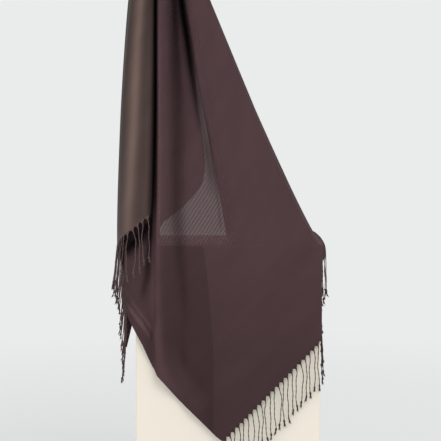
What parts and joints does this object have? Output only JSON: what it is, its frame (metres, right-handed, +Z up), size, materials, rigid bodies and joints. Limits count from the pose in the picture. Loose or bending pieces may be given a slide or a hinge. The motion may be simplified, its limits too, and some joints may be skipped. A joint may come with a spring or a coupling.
{
  "type": "fringed hijab scarf draped on a display plinth",
  "caption": "Fringed plum hijab scarf hung by its middle over a slim post and draped across a square cream display plinth, with knotted fringe at both ends.",
  "frame": {"origin": "centre of the plinth's underside, where the piece stands", "axes": "+Z up, -Y the plinth's front face, where the fringed corner hangs, and +X to the right seen from the front"},
  "size_m": [0.3869, 0.3411, 1.2344],
  "materials": {
    "cream_board": "smooth satin cream paint on board",
    "brushed_steel": "fine brushed steel",
    "plum_twill": "light, slightly sheer twill, matt, dark plum brown",
    "plum_satin_reverse": "the same cloth's satin side, soft sheen, olive brown",
    "fringe_yarn": "twisted and knotted yarn, near black plum"
  },
  "bodies": {
    "root": {"plinth": "cream_board", "stand_post": "brushed_steel", "cloth_crown": "plum_twill", "cloth_front": "plum_twill", "cloth_right": "plum_twill", "cloth_back": "plum_twill", "cloth_left": "plum_satin_reverse", "cloth_folded_under": "plum_twill", "fringe_front": "fringe_yarn", "fringe_right": "fringe_yarn", "fringe_back": "fringe_yarn", "fringe_left": "fringe_yarn"}
  },
  "joints": []
}
